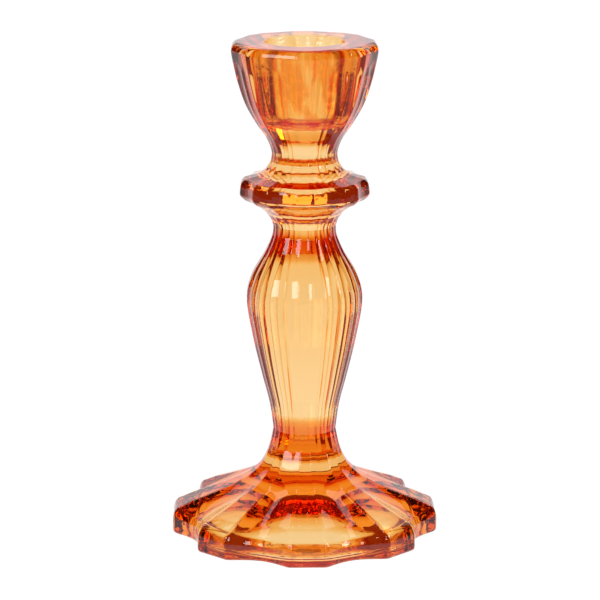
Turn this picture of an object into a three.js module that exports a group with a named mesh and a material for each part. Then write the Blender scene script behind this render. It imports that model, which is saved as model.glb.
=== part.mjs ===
// A pressed-glass candlestick in amber glass, for one dinner candle.
//
// Four glass sections stand on one axis and meet face to face: the foot, the fluted stem, the
// scalloped collar and the cup with its blind socket. Each section is an outline spun about the
// axis, with the mould's relief pressed into it: 24 flutes all round, and 8 lobes.
//
// Units are millimetres. Z is the axis and points up, Z = 0 is the surface it stands on, and the
// middle of one lobe faces -Y.

import * as THREE from 'three';

// ---- Driving dimensions ----

const HEIGHT = 160; // rim above the table
const FOOT_WIDTH = 85.6; // across two opposite lobe tips
const COLLAR_WIDTH = 41.2;
const RIM_WIDTH = 46.4;
const BELLY_WIDTH = 37; // the stem at its widest
const SOCKET_WIDTH = 23; // bore for a 22 mm dinner candle
const SOCKET_DEPTH = 24;

// Heights where one section meets the next, and the radius there.
const FOOT_TOP = 34;
const FOOT_TOP_RADIUS = 10;
const STEM_TOP = 101;
const STEM_TOP_RADIUS = 9.9;
const COLLAR_TOP = 121.8;
const COLLAR_TOP_RADIUS = 10.7;

// Cup rim and socket.
const RIM_EDGE_HEIGHT = 3; // the rim's rounded outer edge, from its widest point to the top
const MOUTH_CHAMFER = 0.8;
const MOUTH_WIDTH = 25; // the socket leads the candle in from here
const LEAD_IN = 8; // depth over which the mouth narrows to the bore
const SOCKET_TAPER = 0.3; // the bore is this much narrower in radius at its floor
const SOCKET_FILLET = 4; // round the socket floor

// Hollow under the foot: half of a flattened ball.
const HOLLOW_RADIUS = 33;
const HOLLOW_HEIGHT = 8;

// Relief, as shares of the radius, and the drop of the foot's edge between two lobes.
const FLUTE_COUNT = 24;
const LOBE_COUNT = 8;
const LOBE_HALF_ANGLE = 7.5; // degrees, from a lobe's middle to the ridge on its side
const STEM_RELIEF = { flute: 0.014, scallop: 0.015, drop: 0 };
const BOWL_FLUTE = 0.008; // the flutes are faint round the bottom of the cup's bowl
const COLLAR_SCALLOP = 0.055;
const RIM_SCALLOP = 0.036;
const FOOT_SCALLOP = 0.1;
const FOOT_EDGE_DROP = 1.4;
const NO_RELIEF = { flute: 0, scallop: 0, drop: 0 };

const SEGMENTS = 96; // facets round the axis, four to a flute
const AMBER = 0xf2933a;

// ---- Outlines ----

const mix = THREE.MathUtils.lerp;
const smooth = THREE.MathUtils.smoothstep;
const cosine = (degrees) => Math.cos(THREE.MathUtils.degToRad(degrees));

/** Outline points on a smooth curve through a few [radius, height] stations. */
function curveThrough(stations, stepsPerSpan, reliefAt) {
  const curve = new THREE.SplineCurve(stations.map((station) => new THREE.Vector2(...station)));
  return curve
    .getPoints((stations.length - 1) * stepsPerSpan)
    .map(({ x, y }) => ({ radius: x, height: y, ...reliefAt(x, y) }));
}

/** Outline points on a quarter of an ellipse, from the angle `start` to `end` in degrees. */
function ellipseArc(centre, half, start, end, steps, reliefAt) {
  return Array.from({ length: steps + 1 }, (_, step) => {
    const angle = THREE.MathUtils.degToRad(mix(start, end, step / steps));
    const radius = centre[0] + half[0] * Math.cos(angle);
    const height = centre[1] + half[1] * Math.sin(angle);
    return { radius, height, ...reliefAt(radius, height) };
  });
}

const onAxis = (height) => ({ radius: 0, height, ...NO_RELIEF });
const plain = () => NO_RELIEF;

// ---- Relief ----

/** 1 in the middle of a hollow and 0 at its two ridges, along a parabola. */
const hollowAt = (angle, middle, halfWidth) => Math.max(0, 1 - ((angle - middle) / halfWidth) ** 2);

/** The angle to the nearest of `count` middles that are spread evenly round the axis, in degrees. */
function fromNearest(degrees, count) {
  const spacing = 360 / count;
  return Math.abs(degrees - Math.round(degrees / spacing) * spacing);
}

/**
 * How far the point is pushed in from the ridges at this angle: [share of the radius, drop in mm].
 * A lobe's tip is flat, or hollow where a flute there is deeper than the flat.
 */
function pressedIn(degrees, { flute, scallop, drop }) {
  const lobeAngle = 360 / LOBE_COUNT;
  const fromLobe = fromNearest(degrees, LOBE_COUNT);
  const inFlute = hollowAt(fromNearest(degrees, FLUTE_COUNT), 0, 180 / FLUTE_COUNT);
  const inScallop = hollowAt(fromLobe, lobeAngle / 2, lobeAngle / 2 - LOBE_HALF_ANGLE);
  const inFlat = Math.max(0, 1 - cosine(LOBE_HALF_ANGLE) / cosine(fromLobe));
  return [Math.max(flute * inFlute, inFlat) + scallop * inScallop, drop * inScallop];
}

/**
 * Spins an outline about Z and presses its relief in. An outline's radius is half the width across
 * two opposite flat lobe tips.
 */
function pressedGeometry(outline) {
  const ridgeScale = 1 / cosine(LOBE_HALF_ANGLE);
  const points = outline.map(({ radius, height }) => new THREE.Vector2(radius, height));
  const geometry = new THREE.LatheGeometry(points, SEGMENTS);
  const position = geometry.getAttribute('position');
  for (let index = 0; index < position.count; index += 1) {
    const point = outline[index % outline.length];
    const degrees = (Math.floor(index / outline.length) * 360) / SEGMENTS;
    const [pushedShare, dropped] = pressedIn(degrees, point);
    const scale = point.flute || point.scallop ? ridgeScale * (1 - pushedShare) : 1;
    position.setX(index, position.getX(index) * scale);
    position.setY(index, point.height - dropped);
    position.setZ(index, position.getZ(index) * scale);
  }
  return geometry.rotateX(Math.PI / 2);
}

// ---- Sections, each outline from the axis at the bottom, up the outside and back to the axis ----

function footOutline() {
  const tipRadius = FOOT_WIDTH / 2;
  const edge = { radius: 2.5, height: 4.5 }; // the rounding at the top of a lobe's tip
  const edgeTop = 8.8;
  const reach = (radius) => (radius - FOOT_TOP_RADIUS) / (tipRadius - FOOT_TOP_RADIUS);
  const reliefAt = (radius, height) => ({
    flute: STEM_RELIEF.flute * smooth(height, 22, FOOT_TOP),
    scallop: mix(STEM_RELIEF.scallop, FOOT_SCALLOP, 1 - (1 - reach(radius)) ** 2),
    drop: FOOT_EDGE_DROP * reach(radius) ** 2 * smooth(height, 4, 8),
  });
  const edgeRelief = { flute: 0, scallop: FOOT_SCALLOP, drop: 0 };
  const hollow = ellipseArc([0, 0], [HOLLOW_RADIUS, HOLLOW_HEIGHT], 90, 0, 7, plain).slice(1);
  const tip = ellipseArc([tipRadius - edge.radius, edgeTop - edge.height], [edge.radius, edge.height],
    0, 68, 3, reliefAt);
  const slope = curveThrough([[36, 10.9], [27, 14.3], [20, 17.4], [16, 20.2], [13.5, 23], [11.4, 27.8],
    [FOOT_TOP_RADIUS, FOOT_TOP]], 1, reliefAt);
  return [
    onAxis(HOLLOW_HEIGHT),
    ...hollow,
    { radius: tipRadius - 0.8, height: 0, ...edgeRelief },
    { radius: tipRadius, height: 0.8, ...edgeRelief },
    ...tip,
    ...slope,
    onAxis(FOOT_TOP),
  ];
}

function stemOutline() {
  const stations = [[FOOT_TOP_RADIUS, FOOT_TOP], [11.2, 42.5], [13.6, 52], [16.4, 64],
    [BELLY_WIDTH / 2, 77], [16.8, 84.8], [12.6, 92.2], [10.3, 97.6], [STEM_TOP_RADIUS, STEM_TOP]];
  return [onAxis(FOOT_TOP), ...curveThrough(stations, 2, () => STEM_RELIEF), onAxis(STEM_TOP)];
}

function collarOutline() {
  const edgeRadius = COLLAR_WIDTH / 2;
  const reliefAt = (radius) => ({
    flute: STEM_RELIEF.flute * (1 - smooth(radius, 11, 16)),
    scallop: mix(STEM_RELIEF.scallop, COLLAR_SCALLOP, smooth(radius, 10, edgeRadius)),
    drop: 0,
  });
  const under = curveThrough([[STEM_TOP_RADIUS, STEM_TOP], [10.8, 103.4], [12.6, 105.7],
    [16.6, 108.3], [19, 109.5]], 1, reliefAt);
  const edge = curveThrough([[edgeRadius - 0.2, 110.9], [edgeRadius, 112.2], [edgeRadius - 0.4, 114.8],
    [edgeRadius - 1.4, 116.1]], 1, reliefAt);
  const over = curveThrough([[14.9, 117.3], [12.6, 118.8], [11.3, 120.6],
    [COLLAR_TOP_RADIUS, COLLAR_TOP]], 1, reliefAt);
  return [onAxis(STEM_TOP), ...under, ...edge, ...over, onAxis(COLLAR_TOP)];
}

function cupOutline() {
  const rimRadius = RIM_WIDTH / 2;
  const widest = HEIGHT - RIM_EDGE_HEIGHT;
  const floor = HEIGHT - SOCKET_DEPTH;
  const bore = SOCKET_WIDTH / 2;
  const floorRadius = bore - SOCKET_TAPER - SOCKET_FILLET;
  const inBowl = (height) => smooth(height, COLLAR_TOP, 126) * (1 - smooth(height, 133, 144));
  const reliefAt = (radius, height) => ({
    flute: mix(STEM_RELIEF.flute, BOWL_FLUTE, inBowl(height)) * (1 - smooth(height, 152, 156)),
    scallop: mix(STEM_RELIEF.scallop, RIM_SCALLOP, smooth(height, COLLAR_TOP, widest)),
    drop: 0,
  });
  const side = curveThrough([[COLLAR_TOP_RADIUS, COLLAR_TOP], [10.45, 125], [12, 129.2],
    [15.2, 133.9], [18.7, 140.2], [21, 147], [22.4, 152.8], [22.9, 155.2], [rimRadius, widest]],
  1, reliefAt);
  const rim = ellipseArc([rimRadius - 2, widest], [2, RIM_EDGE_HEIGHT], 0, 90, 3, reliefAt).slice(1);
  const fillet = ellipseArc([floorRadius, floor + SOCKET_FILLET], [SOCKET_FILLET, SOCKET_FILLET],
    0, -90, 3, plain);
  return [
    onAxis(COLLAR_TOP),
    ...side,
    ...rim,
    { radius: MOUTH_WIDTH / 2 + MOUTH_CHAMFER, height: HEIGHT, ...NO_RELIEF },
    { radius: MOUTH_WIDTH / 2, height: HEIGHT - MOUTH_CHAMFER, ...NO_RELIEF },
    { radius: bore, height: HEIGHT - LEAD_IN, ...NO_RELIEF },
    ...fillet,
    onAxis(floor),
  ];
}

// ---- Assembly ----

function glassSection(name, outline) {
  const glass = new THREE.MeshStandardMaterial({ color: AMBER, roughness: 0.04, metalness: 0 });
  const mesh = new THREE.Mesh(pressedGeometry(outline), glass);
  mesh.name = name;
  return mesh;
}

const group = new THREE.Group();
group.add(
  glassSection('foot', footOutline()),
  glassSection('stem', stemOutline()),
  glassSection('collar', collarOutline()),
  glassSection('candle_cup', cupOutline()),
);

export default group;
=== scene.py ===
# %% [markdown]
# # A pressed-glass candlestick
#
# The real thing is amber glass pressed in an iron mould: a scalloped foot, a fluted stem, a lobed
# collar and a cup with a blind socket for one dinner candle. This lesson builds the four sections
# as closed surfaces, gives them an amber lustre, and lights them on a bright table.
#
# Three ideas carry it:
#
# 1. every section is one outline spun about Z, with the mould's relief pressed in by a formula;
# 2. clear solid glass needs a closed surface, so each section has its own end faces, and the faces
#    where two sections meet are made invisible to light;
# 3. glass shows what is behind and beside it, so the table and the soft boxes are part of the look.

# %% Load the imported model
import math

import bpy
import numpy as np
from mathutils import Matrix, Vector


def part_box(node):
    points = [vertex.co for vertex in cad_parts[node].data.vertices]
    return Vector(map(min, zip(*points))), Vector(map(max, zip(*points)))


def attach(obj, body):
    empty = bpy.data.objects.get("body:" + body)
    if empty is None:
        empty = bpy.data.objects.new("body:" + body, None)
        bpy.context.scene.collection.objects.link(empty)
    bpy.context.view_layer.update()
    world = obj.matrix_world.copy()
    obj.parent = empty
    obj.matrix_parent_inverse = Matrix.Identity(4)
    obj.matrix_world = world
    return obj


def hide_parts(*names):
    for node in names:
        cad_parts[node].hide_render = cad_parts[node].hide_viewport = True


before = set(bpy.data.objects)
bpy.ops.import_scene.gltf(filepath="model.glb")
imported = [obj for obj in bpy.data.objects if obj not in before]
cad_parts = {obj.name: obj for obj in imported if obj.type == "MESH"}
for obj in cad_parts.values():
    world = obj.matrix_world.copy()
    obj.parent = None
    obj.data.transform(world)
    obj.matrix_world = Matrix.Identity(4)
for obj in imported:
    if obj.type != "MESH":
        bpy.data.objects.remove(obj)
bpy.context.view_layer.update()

MM = 0.001

# %% [markdown]
# ## Sizes
#
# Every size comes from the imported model's own boxes, so the fine surfaces land where the plain ones
# are. A box gives the lowest and highest corner of one node, in metres.

# %% Read the sizes of the four sections
foot_low, foot_high = (np.array(corner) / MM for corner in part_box("foot"))
stem_low, stem_high = (np.array(corner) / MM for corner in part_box("stem"))
collar_low, collar_high = (np.array(corner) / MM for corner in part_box("collar"))
cup_low, cup_high = (np.array(corner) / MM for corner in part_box("candle_cup"))

FIT = 0.9995  # keeps the fine surfaces just inside the plain ones
FOOT_RADIUS = foot_high[0] * FIT
BELLY_RADIUS = stem_high[0] * FIT
COLLAR_RADIUS = collar_high[0] * FIT
RIM_RADIUS = cup_high[0] * FIT
FOOT_TOP = foot_high[2]
STEM_TOP = stem_high[2]
COLLAR_TOP = collar_high[2]
HEIGHT = cup_high[2]
print("radii in mm:", FOOT_RADIUS, BELLY_RADIUS, COLLAR_RADIUS, RIM_RADIUS)
print("heights in mm:", FOOT_TOP, STEM_TOP, COLLAR_TOP, HEIGHT)

# %% [markdown]
# ## The camera
#
# A long lens from nearly a metre away keeps the candlestick free of perspective stretch. It looks
# down by 13.5 degrees, so the rim and the foot show as thin ellipses, and it stands a little to the
# left of the front lobe. Depth of field stays off: everything is sharp.

# %% Place the camera
CAMERA_DISTANCE = 0.903
CAMERA_HEIGHT = 0.293
CAMERA_TILT = math.radians(13.5)
CAMERA_TURN = math.radians(1.3)
CAMERA_SHIFT = -0.00144
CAMERA_LENS = 173.6

camera_data = bpy.data.cameras.new("camera")
camera_data.lens = CAMERA_LENS
camera_data.sensor_width = 36.0
camera = bpy.data.objects.new("camera", camera_data)
camera.location = (-CAMERA_DISTANCE * math.sin(CAMERA_TURN) + CAMERA_SHIFT,
                   -CAMERA_DISTANCE * math.cos(CAMERA_TURN), CAMERA_HEIGHT)
camera.rotation_euler = (math.pi / 2 - CAMERA_TILT, 0.0, -CAMERA_TURN)
bpy.context.scene.collection.objects.link(camera)
bpy.context.scene.camera = camera
print("camera at", tuple(round(c, 4) for c in camera.location))

# %% [markdown]
# ## The mould's relief
#
# All four sections share one mould pattern: 24 flutes, and 8 lobes with scallops between them. The
# relief is a share of the radius that is pushed in, worked out from the angle alone. Ridges are
# rounded a little, because the glass is fire-polished after pressing.
#
# The arrays below hold one number for each angle, so the whole ring is worked out at once and no
# loop runs over the vertices.

# %% The relief as functions of the angle
FLUTES = 24
LOBES = 8
LOBE_HALF_ANGLE = 7.5  # degrees, from a lobe's middle to the ridge on its side
AROUND = 384  # points round the axis, 16 to a flute
RIDGE_SCALE = 1 / math.cos(math.radians(LOBE_HALF_ANGLE))
FLUTE_SOFTNESS = 0.08  # how round a ridge is, as a share of the width from ridge to middle
SCALLOP_SOFTNESS = 0.1


def from_nearest(degrees, count):
    """The angle to the nearest of `count` evenly spaced middles: |a - round(a / step) * step|."""
    step = 360 / count
    return np.abs(degrees - np.round(degrees / step) * step)


def soft_hollow(from_ridge, softness):
    """0 on the ridge and 1 in the middle of the hollow, for a distance that runs from 0 to 1.

    A parabola 2q - q*q, where q is the distance with its kink at the ridge rounded:
    q = sqrt(d*d + s*s) - s, scaled to reach 1.
    """
    q = np.sqrt(from_ridge**2 + softness**2) - softness
    q = q / (math.sqrt(1 + softness**2) - softness)
    return 2 * q - q * q


def smooth(value, low, high):
    """0 below `low`, 1 above `high`, and the cubic 3t*t - 2t*t*t between them."""
    t = np.clip((value - low) / (high - low), 0, 1)
    return t * t * (3 - 2 * t)


angles = np.arange(AROUND) * 360 / AROUND
from_lobe = from_nearest(angles, LOBES)
flute_hollow = soft_hollow(1 - from_nearest(angles, FLUTES) / (180 / FLUTES), FLUTE_SOFTNESS)
scallop_half = 180 / LOBES - LOBE_HALF_ANGLE
scallop_hollow = soft_hollow(np.clip((from_lobe - LOBE_HALF_ANGLE) / scallop_half, 0, 1),
                             SCALLOP_SOFTNESS)
flat_tip = np.clip(1 - 1 / (RIDGE_SCALE * np.cos(np.radians(from_lobe))), 0, 1)
print("angles:", AROUND, "deepest flat tip, share of the radius:", round(float(flat_tip.max()), 4))

# %% [markdown]
# ## Outlines
#
# An outline is an array of [radius, height] rows in millimetres. It runs from the axis at the
# bottom, up the outside and back to the axis. A few stations carry the shape, a Catmull-Rom curve
# runs through them, and quarter ellipses round the edges.

# %% Curves for the outlines
def curve_through(stations, steps):
    """Points on a Catmull-Rom curve through the stations, `steps` to a span.

    Each span is the cubic that starts and ends on two stations, with the slope at each station
    taken as half the way from the station before it to the one after it.
    """
    p = np.array(stations, float)
    last = len(p) - 1
    t = np.linspace(0, last, last * steps + 1)
    i = np.minimum(t.astype(int), last - 1)
    w = (t - i)[:, None]
    before, start, end, after = p[np.maximum(i - 1, 0)], p[i], p[i + 1], p[np.minimum(i + 2, last)]
    a, b = (end - before) / 2, (after - start) / 2
    cubic, square = 2 * start - 2 * end + a + b, 3 * end - 3 * start - 2 * a - b
    return cubic * w**3 + square * w**2 + a * w + start


def ellipse_arc(centre, half, start, end, steps):
    """Points on an ellipse: centre + half * (cos, sin) of an angle from `start` to `end` degrees."""
    turn = np.radians(np.linspace(start, end, steps + 1))
    return np.stack([centre[0] + half[0] * np.cos(turn), centre[1] + half[1] * np.sin(turn)], axis=1)


def straight(start, end, steps):
    """Evenly spaced points on a straight line."""
    return np.linspace(start, end, steps + 1)


def join(*runs):
    """One outline from several runs of points, with the doubled points where they meet left out."""
    points = np.concatenate(runs)
    keep = np.r_[True, np.linalg.norm(np.diff(points, axis=0), axis=1) > 1e-6]
    return points[keep]


print("rows in a test curve:", len(curve_through([[0, 0], [1, 1], [2, 0]], 8)))

# %% [markdown]
# ## From outline to closed surface
#
# The surface has two parameters, the outline row and the angle. Rows on the axis become one pole
# point each, with a fan of triangles round it, so the surface is watertight.
#
# Where two sections meet there are two end faces with a gap of 0.01 mm between them. On the real
# object the glass runs straight through, so light must not see them. Each face of the mesh carries
# a number called `joint`: 1 on such an end face and 0 elsewhere. The glass reads it later.

# %% Spin an outline and press the relief in
JOINT_GAP = 0.01  # mm between two sections, so that their end faces never coincide


def relief_grid(outline, flute, scallop, drop, run_out):
    """The points of the surface, as an array [row, angle, xyz] in millimetres.

    radius(row, angle) = outline radius * ridge scale * (1 - pushed), height = outline height -
    drop * scallop hollow, and pushed = the deeper of flat tip and flute, plus the scallop.
    `run_out` is taken off the flutes' depth, so a flute ends in an arch where it runs out.
    """
    radius, height = outline[:, 0:1], outline[:, 1:2]
    pressed = (flute > 0) | (scallop > 0)
    in_flute = np.clip(flute * flute_hollow - run_out, 0, 1)
    pushed = np.maximum(in_flute, flat_tip * (scallop > 0)) + scallop * scallop_hollow
    r = radius * np.where(pressed, RIDGE_SCALE * (1 - pushed), 1.0)
    z = height - drop * scallop_hollow
    turn = np.radians(angles)
    return np.stack([r * np.cos(turn), r * np.sin(turn), z + 0 * r], axis=2)


def grid_faces(rows):
    """Quads between neighbouring rings, and the two fans that close the poles."""
    index = np.arange(rows * AROUND).reshape(rows, AROUND)
    across = np.roll(index, -1, axis=1)
    quads = np.stack([index[:-1], across[:-1], across[1:], index[1:]], axis=2).reshape(-1, 4)
    low_fan = np.stack([across[0], index[0], np.full(AROUND, rows * AROUND)], axis=1)
    high_fan = np.stack([index[-1], across[-1], np.full(AROUND, rows * AROUND + 1)], axis=1)
    return low_fan, quads, high_fan


def mark_joints(mesh, rows, joints):
    """Write the `joint` number on each face, and a sharp edge round each end face."""
    on_face = np.zeros(len(mesh.polygons), np.float32)
    on_face[:AROUND] = "bottom" in joints
    on_face[-AROUND:] = "top" in joints
    mesh.attributes.new("joint", "FLOAT", "FACE").data.foreach_set("value", on_face)

    ends = np.empty(len(mesh.edges) * 2, np.int32)
    mesh.edges.foreach_get("vertices", ends)
    ring = ends.reshape(-1, 2) // AROUND
    sharp = (ring == 0).all(axis=1) * ("bottom" in joints)
    sharp = sharp | (ring == rows - 1).all(axis=1) * ("top" in joints)
    mesh.attributes.new("sharp_edge", "BOOLEAN", "EDGE").data.foreach_set("value", sharp)


def pressed_piece(name, outline, flute, scallop, drop, joints, run_out=0.0):
    """One closed section of glass, as an object at the origin."""
    grid = relief_grid(outline, flute, scallop, drop, run_out)
    rows = len(grid) - 2
    poles = np.array([[0, 0, outline[0, 1]], [0, 0, outline[-1, 1]]])
    points = np.concatenate([grid[1:-1].reshape(-1, 3), poles]) * MM
    low_fan, quads, high_fan = grid_faces(rows)

    mesh = bpy.data.meshes.new(name)
    mesh.from_pydata(points.tolist(), [], low_fan.tolist() + quads.tolist() + high_fan.tolist())
    mesh.polygons.foreach_set("use_smooth", np.ones(len(mesh.polygons), bool))
    mark_joints(mesh, rows, joints)
    mesh.update()
    piece = bpy.data.objects.new(name, mesh)
    bpy.context.scene.collection.objects.link(piece)
    print(name, "rows:", rows, "faces:", len(mesh.polygons), "joints:", joints)
    return piece


# %% [markdown]
# ## The foot
#
# A flared foot with eight flat-tipped lobes and broad scallops between them. Underneath it is
# pressed hollow, like a shallow upturned bowl, so that it stands on a ring and does not rock. The
# scallops deepen towards the edge, and their edge sits a little lower than the lobes' tips.

# %% Build the foot
HOLLOW_RADIUS = 33.0  # mm
HOLLOW_HEIGHT = 8.0
STEM_FLUTE = 0.014  # depths of the relief, as shares of the radius
STEM_SCALLOP = 0.015
FOOT_SCALLOP = 0.10
EDGE_DROP = 1.4  # mm, from a lobe's tip down to the edge of a scallop
NECK = 10.0  # radius where the foot meets the stem
LIP_ROUND = (0.8, 1.0)  # half axes of the rounding inside the resting ring
HEEL_ROUND = 1.2
TIP_ROUND = (2.5, 4.5)  # half axes of the rounding at the top of a lobe's tip
TIP_MIDDLE = 4.3  # height of its centre


def make_foot():
    tip = FOOT_RADIUS
    ring_inside = HOLLOW_RADIUS + 0.1
    under = ellipse_arc((0, 0), (HOLLOW_RADIUS - 0.6, HOLLOW_HEIGHT), 90, 4, 30)
    lip = ellipse_arc((ring_inside, LIP_ROUND[1]), LIP_ROUND, 180, 270, 5)
    ring = straight((ring_inside, 0), (tip - HEEL_ROUND, 0), 6)
    heel = ellipse_arc((tip - HEEL_ROUND, HEEL_ROUND), (HEEL_ROUND, HEEL_ROUND), -90, 0, 6)
    edge = ellipse_arc((tip - TIP_ROUND[0], TIP_MIDDLE), TIP_ROUND, 0, 68, 9)
    slope = curve_through([[36, 10.9], [27, 14.3], [20, 17.4], [16, 20.2], [13.5, 23], [11.4, 27.8],
                           [NECK, FOOT_TOP - JOINT_GAP / 2]], 10)
    outline = join(under, lip, ring, heel, straight((tip, HEEL_ROUND), (tip, TIP_MIDDLE), 6), edge,
                   curve_through([edge[-1], slope[0]], 6), slope, slope[-1:] * [0, 1])

    radius, height = outline[:, 0:1], outline[:, 1:2]
    outside = np.arange(len(outline))[:, None] > len(under) + len(lip)
    reach = np.clip((radius - NECK) / (tip - NECK), 0, 1)
    flute = STEM_FLUTE * smooth(height, 22, FOOT_TOP) * outside
    scallop = (STEM_SCALLOP + (FOOT_SCALLOP - STEM_SCALLOP) * (1 - (1 - reach) ** 2)) * outside
    drop = EDGE_DROP * reach**2 * smooth(height, 4, 8) * outside
    return pressed_piece("foot_glass", outline, flute, scallop, drop, ["top"])


foot = make_foot()

# %% [markdown]
# ## The stem
#
# A baluster: narrow at the foot, widest at half height, and drawn in to a neck below the collar.
# The 24 flutes run its whole length and are hardly deeper than flat facets.

# %% Build the stem
COLLAR_NECK = 9.9


def make_stem():
    low, high = FOOT_TOP + JOINT_GAP / 2, STEM_TOP - JOINT_GAP / 2
    side = curve_through([[NECK, low], [11.2, 42.5], [13.6, 52], [16.4, 64], [BELLY_RADIUS, 77],
                          [16.8, 84.8], [12.6, 92.2], [10.3, 97.6], [COLLAR_NECK, high]], 13)
    outline = join(side[:1] * [0, 1], side, side[-1:] * [0, 1])
    flute = np.full((len(outline), 1), STEM_FLUTE)
    scallop = np.full((len(outline), 1), STEM_SCALLOP)
    return pressed_piece("stem_glass", outline, flute, scallop, 0 * flute, ["bottom", "top"])


stem = make_stem()

# %% [markdown]
# ## The collar
#
# A lobed disc between stem and cup, where a hand would grip. The flutes fade out towards its edge
# and the scallops grow, so the edge has eight lobes like the foot's.

# %% Build the collar
COLLAR_SCALLOP = 0.055
CUP_NECK = 10.7


def make_collar():
    low, high = STEM_TOP + JOINT_GAP / 2, COLLAR_TOP - JOINT_GAP / 2
    tip = COLLAR_RADIUS
    under = curve_through([[COLLAR_NECK, low], [10.8, 103.4], [12.6, 105.7], [16.6, 108.3],
                           [19, 109.5]], 8)
    edge = curve_through([[19, 109.5], [tip - 0.2, 110.9], [tip, 112.2], [tip - 0.4, 114.8],
                          [tip - 1.4, 116.1]], 8)
    over = curve_through([[tip - 1.4, 116.1], [14.9, 117.3], [12.6, 118.8], [11.3, 120.6],
                          [CUP_NECK, high]], 8)
    outline = join(under[:1] * [0, 1], under, edge, over, over[-1:] * [0, 1])
    radius = outline[:, 0:1]
    flute = STEM_FLUTE * (1 - smooth(radius, 11, 16))
    scallop = STEM_SCALLOP + (COLLAR_SCALLOP - STEM_SCALLOP) * smooth(radius, 10, tip)
    return pressed_piece("collar_glass", outline, flute, scallop, 0 * flute, ["bottom", "top"])


collar = make_collar()

# %% [markdown]
# ## The candle cup
#
# A tulip with the flutes running up it, each ending in an arch below the rim. The socket for the
# candle is pressed down into it: a mouth that leads the candle in, a bore that hardly narrows, and
# a rounded floor. Its wall belongs to the same closed surface, so the glass has real thickness.

# %% Build the candle cup
BOWL_FLUTE = 0.008  # the flutes are faint round the bottom of the bowl
RIM_SCALLOP = 0.036
SOCKET_RADIUS = 11.5
SOCKET_DEPTH = 24
SOCKET_TAPER = 0.3
SOCKET_FILLET = 4.0
LEAD_IN = 8.0  # depth over which the mouth narrows to the bore
MOUTH_EXTRA = 1.0  # the mouth's radius beyond the bore's
MOUTH_ROUND = 0.8
RIM_ROUND = (2, 3)  # half axes of the rim's outer edge


def make_cup():
    low, widest, floor = COLLAR_TOP + JOINT_GAP / 2, HEIGHT - RIM_ROUND[1], HEIGHT - SOCKET_DEPTH
    bore, foot_of_wall = SOCKET_RADIUS, SOCKET_RADIUS - SOCKET_TAPER
    flat_outside, flat_inside = RIM_RADIUS - RIM_ROUND[0], bore + MOUTH_EXTRA + MOUTH_ROUND
    side = curve_through([[CUP_NECK, low], [10.45, 125], [12, 129.2], [15.2, 133.9], [18.7, 140.2],
                          [21, 147], [22.4, 152.8], [22.9, 155.2], [RIM_RADIUS, widest]], 9)
    rim = ellipse_arc((flat_outside, widest), RIM_ROUND, 0, 90, 10)
    mouth = ellipse_arc((flat_inside, HEIGHT - MOUTH_ROUND), (MOUTH_ROUND, MOUTH_ROUND), 90, 180, 6)
    well = ellipse_arc((foot_of_wall - SOCKET_FILLET, floor + SOCKET_FILLET),
                       (SOCKET_FILLET, SOCKET_FILLET), 0, -90, 12)
    outline = join(side[:1] * [0, 1], side, rim,
                   straight((flat_outside, HEIGHT), (flat_inside, HEIGHT), 8), mouth,
                   straight((bore + MOUTH_EXTRA, HEIGHT - MOUTH_ROUND), (bore, HEIGHT - LEAD_IN), 8),
                   straight((bore, HEIGHT - LEAD_IN), (foot_of_wall, floor + SOCKET_FILLET), 14),
                   well, straight((foot_of_wall - SOCKET_FILLET, floor), (0, floor), 6))

    height = outline[:, 1:2]
    outside = np.arange(len(outline))[:, None] < len(side) + len(rim)
    in_bowl = smooth(height, COLLAR_TOP, 126) * (1 - smooth(height, 133, 144))
    flute = (STEM_FLUTE + (BOWL_FLUTE - STEM_FLUTE) * in_bowl) * outside
    towards_rim = smooth(height, COLLAR_TOP, widest)
    scallop = (STEM_SCALLOP + (RIM_SCALLOP - STEM_SCALLOP) * towards_rim) * outside
    run_out = STEM_FLUTE * smooth(height, widest - 7, widest - 1.5)
    return pressed_piece("cup_glass", outline, flute, scallop, 0 * flute, ["bottom"], run_out)


cup = make_cup()

# %% [markdown]
# ## The skin of the glass
#
# Pressed glass is never quite smooth. The mould is cooler than the glass and leaves slow waves,
# drawn out along the height, and short ones on the thick edges that cool last. The plunger that
# presses the socket leaves its wall rougher than the fire-polished outside, with rings where it was
# drawn out. The amber stain lies evenly all over. On top of it shade is painted in as deeper tint:
# in blotches in the socket, at both necks, along the ridge in the middle of each scallop, and a
# little on the underside of the foot, all places that bent light leaves dark.
#
# A node group holds this, and gives out plain values: a height in metres for the bump, a roughness,
# and how strongly the stain and the painted shade act, which is 0 on the hidden joint faces. Each
# effect acts through a mask: a smooth step in height or in distance from the axis, 1 where the effect
# is and 0 elsewhere.

# %% Small helpers for node trees
def add(nodes, kind, settings=(), **inputs):
    """A new node with its plain settings and its inputs: a number is stored, a socket is linked.

    An input is named as the node names it, or `i` and its number: `i0`, `i1` and so on.
    """
    node = nodes.new(kind)
    for key, value in dict(settings).items():
        setattr(node, key, value)
    for name, value in inputs.items():
        slot = node.inputs[int(name[1:]) if name[1:].isdigit() else name]
        if isinstance(value, bpy.types.NodeSocket):
            node.id_data.links.new(value, slot)
        else:
            slot.default_value = value
    return node


def math_node(nodes, operation, *values):
    """One arithmetic node, and its result."""
    inputs = {f"i{place}": value for place, value in enumerate(values)}
    return add(nodes, "ShaderNodeMath", {"operation": operation}, **inputs).outputs[0]


def smooth_step(nodes, value, low, high, start, end):
    """`start` below `low`, `end` above `high`, and a smooth step between them."""
    return add(nodes, "ShaderNodeMapRange", {"interpolation_type": "SMOOTHSTEP"},
               i0=value, i1=low, i2=high, i3=start, i4=end).outputs[0]


def noise(nodes, place, stretch, size, detail):
    """Noise between 0 and 1 with waves about `size` mm long, squeezed by `stretch` along xyz."""
    along = add(nodes, "ShaderNodeVectorMath", {"operation": "MULTIPLY"}, i0=place, i1=stretch)
    return add(nodes, "ShaderNodeTexNoise", Vector=along.outputs[0], Scale=1 / (size * MM),
               Detail=detail).outputs["Fac"]


print("node helpers are ready")

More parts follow.
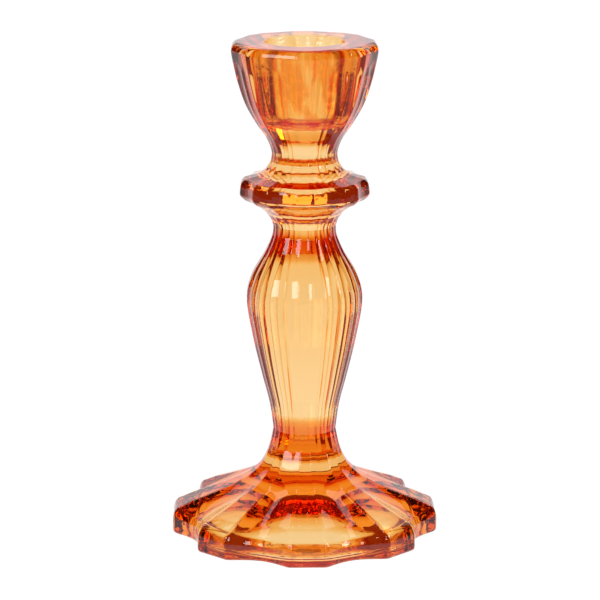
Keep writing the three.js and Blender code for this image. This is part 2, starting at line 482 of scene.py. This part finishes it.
# %% Build the node group for the skin
SLOW_WAVE = 0.00010  # bump heights in metres: everywhere,
FOOT_WAVE = 0.00005  # on the foot's edge,
COLLAR_WAVE = 0.00015  # on the collar
SOCKET_WAVE = 0.00020  # and on the socket's wall
SOCKET_ROUGHNESS = 0.16
POLISHED_ROUGHNESS = 0.04  # in the dullest spots of the fire-polished outside
# The six numbers below are painted shade: deeper tint added to the even stain of 1 in the socket, in
# the foot's hollow, at both necks, most at the lower one, and along the ridges.
SOCKET_SHADE = 1.6  # each stain is added to the 1 that acts everywhere
HOLLOW_SHADE = 0.2
NECK_SHADE = 1.2
LOW_NECK_SHADE_SHARE = 3.0  # the lower neck is stained this many times as much as the upper one
RIDGE_SHADE = 10.0
SHADED_RIDGE_SPAN = (0.468, 0.49)  # where it begins and where it is full, as a share of the step between lobes


def skin_group():
    """The node group. `above` and `below` are masks in mm that fade between their two numbers."""
    group = bpy.data.node_groups.new("pressed_skin_and_shade", "ShaderNodeTree")
    for name in ("Height", "Roughness", "Stain"):
        group.interface.new_socket(name, in_out="OUTPUT", socket_type="NodeSocketFloat")
    nodes = group.nodes
    place = nodes.new("ShaderNodeTexCoord").outputs["Object"]
    x, y, z = add(nodes, "ShaderNodeSeparateXYZ", i0=place).outputs
    radius = math_node(nodes, "SQRT", math_node(nodes, "MULTIPLY_ADD", x, x,
                                                math_node(nodes, "MULTIPLY", y, y)))

    def both(*masks):
        return math_node(nodes, "MULTIPLY", *masks)

    def above(value, start, full):
        return smooth_step(nodes, value, start * MM, full * MM, 0.0, 1.0)

    def below(value, full, end):
        return smooth_step(nodes, value, full * MM, end * MM, 1.0, 0.0)

    floor = HEIGHT - SOCKET_DEPTH
    in_socket = both(below(radius, SOCKET_RADIUS + 1.3, SOCKET_RADIUS + 1.6),
                     above(z, floor - 1.5, floor - 0.5))
    # Painted shade in the foot's hollow.
    shaded_hollow = both(below(radius, HOLLOW_RADIUS - 0.5, HOLLOW_RADIUS + 0.5),
                     below(z, HOLLOW_HEIGHT + 1.0, HOLLOW_HEIGHT + 1.5))
    on_collar = both(above(z, STEM_TOP + 3, STEM_TOP + 7), below(z, COLLAR_TOP - 5.8, COLLAR_TOP - 1.8))
    on_foot_edge = both(below(z, 10, 16), above(radius, 30, 34))
    # Painted shade at both necks, where the sections meet.
    shaded_low_neck = both(above(z, FOOT_TOP - 7, FOOT_TOP - 4), below(z, FOOT_TOP, FOOT_TOP + 4))
    shaded_high_neck = both(above(z, STEM_TOP - 19, STEM_TOP - 9), below(z, STEM_TOP - 4, STEM_TOP))
    shaded_necks = math_node(nodes, "MULTIPLY_ADD", shaded_low_neck, LOW_NECK_SHADE_SHARE, shaded_high_neck)

    # Painted shade along the ridges half way between the lobes, in broken dark-red lines.
    # Whole numbers of `turn` are the lobes' middles, and the ridges lie half way between them.
    turn = math_node(nodes, "MULTIPLY", math_node(nodes, "ARCTAN2", y, x), LOBES / (2 * math.pi))
    shaded_ridge = smooth_step(nodes, math_node(nodes, "PINGPONG", turn, 0.5), *SHADED_RIDGE_SPAN, 0.0, 1.0)
    fluted = both(above(z, FOOT_TOP + 2, FOOT_TOP + 11), below(z, HEIGHT - 10, HEIGHT - 5))
    plain = math_node(nodes, "MAXIMUM", on_collar, in_socket)
    shaded_ridge = both(both(shaded_ridge, fluted), math_node(nodes, "SUBTRACT", 1.0, plain))

    slow = noise(nodes, place, (1.0, 1.0, 0.35), 12.0, 1.0)
    short = noise(nodes, place, (1.0, 1.0, 1.5), 4.5, 1.5)
    rings = noise(nodes, place, (1.0, 1.0, 2.4), 3.5, 3.0)
    socket_shade_noise = noise(nodes, place, (1.0, 1.0, 0.3), 4.0, 2.0)
    ridge_shade_noise = noise(nodes, place, (1.0, 1.0, 0.4), 10.0, 3.0)

    height = math_node(nodes, "MULTIPLY", slow, SLOW_WAVE)
    height = math_node(nodes, "MULTIPLY_ADD", both(short, on_foot_edge), FOOT_WAVE, height)
    height = math_node(nodes, "MULTIPLY_ADD", both(short, on_collar), COLLAR_WAVE, height)
    height = math_node(nodes, "MULTIPLY_ADD", both(rings, in_socket), SOCKET_WAVE, height)

    patchy = smooth_step(nodes, rings, 0.35, 0.7, 0.02, SOCKET_ROUGHNESS)
    polished = smooth_step(nodes, short, 0.4, 0.9, 0.0, POLISHED_ROUGHNESS)
    rough = math_node(nodes, "MULTIPLY_ADD", patchy, in_socket, polished)

    # Painted shade: deeper tint in blotches in the socket, in the foot's hollow, at the necks and along
    # the ridges, added to the even stain of 1.
    socket_shade_blotches = smooth_step(nodes, socket_shade_noise, 0.42, 0.62, 0.1, 1.3)
    stain_and_shade = math_node(nodes, "MULTIPLY_ADD", both(socket_shade_blotches, in_socket), SOCKET_SHADE, 1.0)
    stain_and_shade = math_node(nodes, "MULTIPLY_ADD", shaded_hollow, HOLLOW_SHADE, stain_and_shade)
    stain_and_shade = math_node(nodes, "MULTIPLY_ADD", shaded_necks, NECK_SHADE, stain_and_shade)
    ridge_shade_beads = smooth_step(nodes, ridge_shade_noise, 0.35, 0.65, 0.05, 1.0)
    stain_and_shade = math_node(nodes, "MULTIPLY_ADD", both(ridge_shade_beads, shaded_ridge), RIDGE_SHADE, stain_and_shade)
    joint = add(nodes, "ShaderNodeAttribute", {"attribute_name": "joint"}).outputs["Fac"]
    stain_and_shade = both(stain_and_shade, math_node(nodes, "SUBTRACT", 1.0, joint))

    add(nodes, "NodeGroupOutput", Height=height, Roughness=rough, Stain=stain_and_shade)
    print("skin group:", len(nodes), "nodes")
    return group


skin = skin_group()

# %% [markdown]
# ## Amber glass
#
# The colour sits mostly in a stained skin, and a little in the glass itself. A ray picks up tint
# each time it crosses the skin, and more of it the flatter it crosses, so edges and ridges gather
# into red while the middle stays honey-coloured. A ray that is thrown back inside the glass crosses
# the skin twice, and is tinted strongest.
#
# Raising the tint colour to a power says how often it acts: colour ** 2 is two layers. The front of
# a face uses the Principled shader and the inside of the same face a Glass shader, chosen by
# Backfacing. A weak absorbing volume deepens the thick parts.
#
# In the thin tips of the foot light can be thrown back for ever, and such a ray stays black. On real
# glass bubbles and scratches let it out, so after several bounces the inside of a face turns into a
# plain see-through one, and the ray leaves with the tint it has gathered.
#
# The refractive index is 1.5, and 1.0001 on the joint faces, which makes them vanish.

# %% Make the glass
TINT = (0.985, 0.85, 0.62)
INDEX = 1.5
JOINT_INDEX = 1.0001
ESCAPE = (5.0, 12.0)  # bounces at which trapped light begins to get out, and at which all of it does
CRITICAL = 0.255  # 1 - cos of the angle inside the glass from which all light is thrown back
ENTER = (0.5, 1.0, 1.0, 8.0)  # from the front: facing from and to, and the tint's power at each
LEAVE = (0.10, CRITICAL, 1.5, 4.6)  # the same from inside
DEPTH_COLOUR = (0.97, 0.64, 0.06, 1.0)
DEPTH_DENSITY = 17.0  # for each metre


def glass_material():
    material = bpy.data.materials.new("amber_glass")
    material.use_nodes = True
    nodes, links = material.node_tree.nodes, material.node_tree.links
    front = nodes["Principled BSDF"]
    front.inputs["Transmission Weight"].default_value = 1.0
    front.inputs["IOR"].default_value = INDEX
    inside = nodes.new("ShaderNodeBsdfGlass")
    surface = nodes.new("ShaderNodeGroup")
    surface.node_tree = skin
    # The even stain and the painted shade, as one number that deepens the tint.
    stain_and_shade = surface.outputs["Stain"]
    joint = add(nodes, "ShaderNodeAttribute", {"attribute_name": "joint"}).outputs["Fac"]

    facing = add(nodes, "ShaderNodeLayerWeight", Blend=0.5).outputs["Facing"]

    def tint_by(law):
        power = math_node(nodes, "MULTIPLY", smooth_step(nodes, facing, *law), stain_and_shade)
        return add(nodes, "ShaderNodeGamma", Color=(*TINT, 1.0), Gamma=power).outputs[0]

    leaving = tint_by(LEAVE)
    links.new(tint_by(ENTER), front.inputs["Base Color"])
    links.new(leaving, inside.inputs["Color"])

    index = math_node(nodes, "MULTIPLY_ADD", joint, JOINT_INDEX - INDEX, INDEX)
    bump = add(nodes, "ShaderNodeBump", Strength=1.0, Distance=1.0, Height=surface.outputs["Height"])
    for shader in (front, inside):
        links.new(index, shader.inputs["IOR"])
        links.new(surface.outputs["Roughness"], shader.inputs["Roughness"])
        links.new(bump.outputs[0], shader.inputs["Normal"])

    side = nodes.new("ShaderNodeNewGeometry").outputs["Backfacing"]
    escape = add(nodes, "ShaderNodeBsdfTransparent", Color=leaving)
    bounces = nodes.new("ShaderNodeLightPath").outputs["Ray Depth"]
    trapped = smooth_step(nodes, bounces, *ESCAPE, 0.0, 1.0)
    inner = add(nodes, "ShaderNodeMixShader", i0=trapped, i1=inside.outputs[0], i2=escape.outputs[0])
    both = add(nodes, "ShaderNodeMixShader", i0=side, i1=front.outputs[0], i2=inner.outputs[0])
    depth = add(nodes, "ShaderNodeVolumeAbsorption", Color=DEPTH_COLOUR, Density=DEPTH_DENSITY)
    output = nodes["Material Output"]
    links.new(both.outputs[0], output.inputs["Surface"])
    links.new(depth.outputs[0], output.inputs["Volume"])
    print("glass:", len(nodes), "nodes, tint", TINT)
    return material


glass = glass_material()

# %% [markdown]
# ## Hand the pieces over
#
# Each fine piece rides on the part's root, takes the amber glass, and replaces the plain node it was
# made from, which is hidden.

# %% Dress the four sections
for piece, node in ((foot, "foot"), (stem, "stem"), (collar, "collar"), (cup, "candle_cup")):
    piece.data.materials.append(glass)
    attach(piece, "root")
    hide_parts(node)
    print(piece.name, "replaces", node)

# %% [markdown]
# ## The table and the backdrop
#
# This is bright-field lighting, the usual way to show glass: a bright table and backdrop behind it,
# dimmer surroundings at the sides. Light that comes straight through is bright, light that is bent
# to the side is dim, and so each edge draws itself as a dark line.
#
# The camera sees both plain white. The table lies a hair below the foot, so that the two surfaces
# do not coincide.

# %% Build the stage
TABLE_HALF = 3.0  # metres, like all sizes of the stage
TABLE_LEVEL = -0.0003
BACKDROP_DISTANCE = 1.5
BACKDROP_HALF = 1.3
BACKDROP_HEIGHT = 1.75
TABLE_RADIANCE = 1.02  # a touch over 1, so that both show as pure white
BACKDROP_RADIANCE = 1.06

scene = bpy.context.scene


def glowing_sheet(name, corners, glow):
    """A flat stage piece that gives light of its own and reflects none."""
    mesh = bpy.data.meshes.new(name)
    mesh.from_pydata(corners, [], [(0, 1, 2, 3)])
    material = bpy.data.materials.new(name)
    material.use_nodes = True
    shader = material.node_tree.nodes["Principled BSDF"]
    shader.inputs["Base Color"].default_value = (0, 0, 0, 1)
    shader.inputs["Specular IOR Level"].default_value = 0.0
    shader.inputs["Emission Color"].default_value = (1, 1, 1, 1)
    shader.inputs["Emission Strength"].default_value = glow
    mesh.materials.append(material)
    sheet = bpy.data.objects.new(name, mesh)
    scene.collection.objects.link(sheet)
    return sheet


t, z = TABLE_HALF, TABLE_LEVEL
table = glowing_sheet("table", [(-t, -t, z), (t, -t, z), (t, t, z), (-t, t, z)],
                      TABLE_RADIANCE)
w, d, h = BACKDROP_HALF, BACKDROP_DISTANCE, BACKDROP_HEIGHT
backdrop = glowing_sheet("backdrop", [(-w, d, 0), (w, d, 0), (w, d, h), (-w, d, h)],
                         BACKDROP_RADIANCE)
print("stage:", table.name, "and", backdrop.name, h, "m high")

# %% [markdown]
# ## What the glass sees of the table
#
# At the sides the real table carries the glass's own amber shadow, so for the glass the table's glow
# fades there to a deep amber, and half way to it in front. Close to the foot it stays bright. Light
# Path tells the camera's own rays from the others, and those still see white.

# %% Shade the table for the glass
SIDE_GLOW = 0.4  # 1 is as bright as the table behind the glass, 0 is the amber shade
SIDE_FADE = (math.radians(35), math.radians(65))  # away from the direction straight behind or in front
FRONT_GLOW = 0.5
FRONT_FADE = (-0.05, 0.05)  # metres along Y
NEAR_GLOW = 1.0
NEAR_FADE = (0.06, 0.15)  # metres from the axis
WHITE = (1.0, 1.0, 1.0, 1.0)
SHADE = (0.22, 0.07, 0.02, 1.0)

tree = table.data.materials[0].node_tree
place = tree.nodes.new("ShaderNodeTexCoord").outputs["Object"]
apart = tree.nodes.new("ShaderNodeSeparateXYZ")
tree.links.new(place, apart.inputs[0])
away = math_node(tree.nodes, "ARCTAN2", math_node(tree.nodes, "ABSOLUTE", apart.outputs[0]),
                 math_node(tree.nodes, "ABSOLUTE", apart.outputs[1]))
by_side = smooth_step(tree.nodes, away, *SIDE_FADE, 1.0, SIDE_GLOW)
by_front = smooth_step(tree.nodes, apart.outputs[1], *FRONT_FADE, FRONT_GLOW, 1.0)
distance = add(tree.nodes, "ShaderNodeVectorMath", {"operation": "LENGTH"}, i0=place).outputs["Value"]
close = smooth_step(tree.nodes, distance, *NEAR_FADE, NEAR_GLOW, 0.0)
glow = math_node(tree.nodes, "MAXIMUM", math_node(tree.nodes, "MULTIPLY", by_side, by_front), close)
ramp = add(tree.nodes, "ShaderNodeMix", {"data_type": "RGBA"}, i0=glow, i6=SHADE, i7=WHITE).outputs[2]
seen = tree.nodes.new("ShaderNodeLightPath").outputs["Is Camera Ray"]
shown = add(tree.nodes, "ShaderNodeMix", {"data_type": "RGBA"}, i0=seen, i6=ramp, i7=WHITE).outputs[2]
tree.links.new(shown, tree.nodes["Principled BSDF"].inputs["Emission Color"])
print("table glow:", len(tree.nodes), "nodes")

# %% [markdown]
# ## Soft boxes
#
# Four soft boxes stand in an arc in front, from left to right, and one hangs overhead and behind.
# They do not light the glass as they would a wall: they are seen in it, as the upright pale patches
# on the necks, the streaks on the ridges and the bright stripes in the collar's edge. Each is given
# by its direction, its size and its radiance.

# %% Place the soft boxes
BOX_DISTANCE = 1.15
BOX_RADIANCE = 7.0
TOP_RADIANCE = 2.0


def softbox(name, side, up, width, height, radiance=BOX_RADIANCE):
    """An area light aimed at the candlestick; `side` and `up` are degrees from the front."""
    a, e = math.radians(side), math.radians(up)
    aim = Vector((0, 0, 0.1))
    away = Vector((math.cos(e) * math.sin(a), -math.cos(e) * math.cos(a), math.sin(e)))
    data = bpy.data.lights.new(name, "AREA")
    data.shape = "RECTANGLE"
    data.size, data.size_y = width, height
    data.energy = radiance * math.pi * width * height
    light = bpy.data.objects.new(name, data)
    light.location = aim + away * BOX_DISTANCE
    light.rotation_euler = (-away).to_track_quat("-Z", "Y").to_euler()
    light.visible_camera = False
    scene.collection.objects.link(light)
    print(name, "watts:", round(data.energy, 2))


softbox("left_box", -46, 21, 0.28, 0.50)
softbox("near_box", -11, 21, 0.24, 0.50)
softbox("slit_box", 23, 21, 0.11, 0.50)
softbox("right_box", 75, 21, 0.36, 0.50)
softbox("top_box", 180, 74, 1.00, 0.25, TOP_RADIANCE)

# %% [markdown]
# ## The room, and how the picture is made
#
# The room is a dim red for the glass, like the light that the glass throws around itself, and white
# for the camera. The Standard view keeps white white, and many bounces are allowed because light
# crosses a dozen faces on its way through.

# %% Set the world and the view
ROOM = (0.28, 0.05, 0.015, 1)
BOUNCES = 32

world = bpy.data.worlds.new("studio")
world.use_nodes = True
tree = world.node_tree
room = tree.nodes["Background"]
room.inputs["Color"].default_value = ROOM
white = add(tree.nodes, "ShaderNodeBackground", Color=(1, 1, 1, 1))
seen = tree.nodes.new("ShaderNodeLightPath").outputs["Is Camera Ray"]
mixed = add(tree.nodes, "ShaderNodeMixShader", i0=seen, i1=room.outputs[0], i2=white.outputs[0])
tree.links.new(mixed.outputs[0], tree.nodes["World Output"].inputs["Surface"])
scene.world = world
scene.view_settings.view_transform = "Standard"
scene.cycles.max_bounces = BOUNCES
scene.cycles.transmission_bounces = BOUNCES
print("bounces:", scene.cycles.max_bounces)
